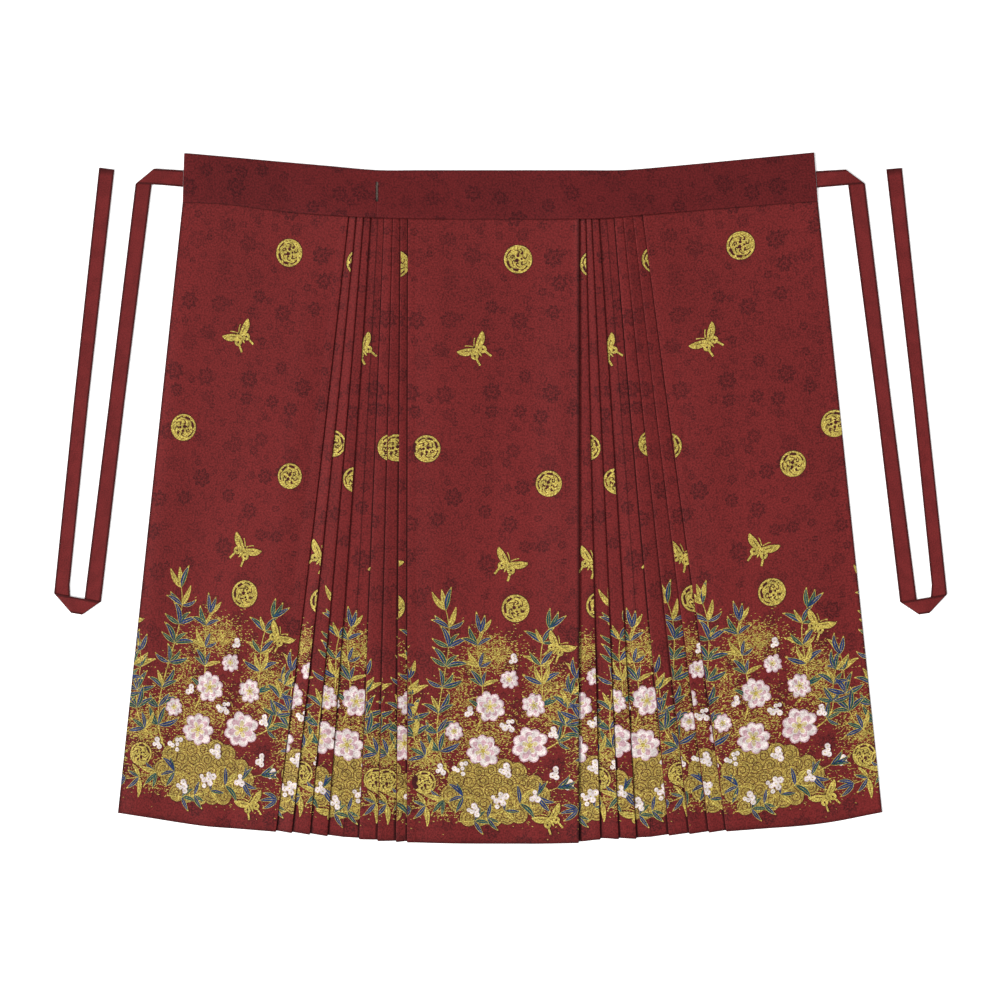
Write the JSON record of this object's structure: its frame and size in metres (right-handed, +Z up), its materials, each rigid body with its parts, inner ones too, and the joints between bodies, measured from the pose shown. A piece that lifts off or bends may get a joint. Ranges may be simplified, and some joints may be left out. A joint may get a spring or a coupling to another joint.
{
  "type": "horse-face skirt",
  "caption": "Long wrap skirt of woven figured cloth laid out flat, with flat panels, pressed pleats, overlapping middle faces, a waistband and folded ribbon ties.",
  "frame": {"origin": "middle of the floor area that the skirt and its ties cover, on the floor", "axes": "+X to the right along the waistband, +Y towards the waist, +Z up from the floor through the cloth"},
  "size_m": [1.2976, 1.0041, 0.0079],
  "materials": {
    "figured_cloth": "satin damask, dark red, with woven gold and coloured silk figures",
    "band_cloth": "satin damask, dark red",
    "tie_cloth": "satin, dark red"
  },
  "bodies": {
    "root": {"left_panel": "figured_cloth", "left_pleats": "figured_cloth", "centre_panel": "figured_cloth", "centre_panel_lower": "figured_cloth", "right_pleats": "figured_cloth", "right_panel": "figured_cloth", "waistband_left": "band_cloth", "waistband_right": "band_cloth", "tie_left": "tie_cloth", "tie_right": "tie_cloth"}
  },
  "joints": []
}
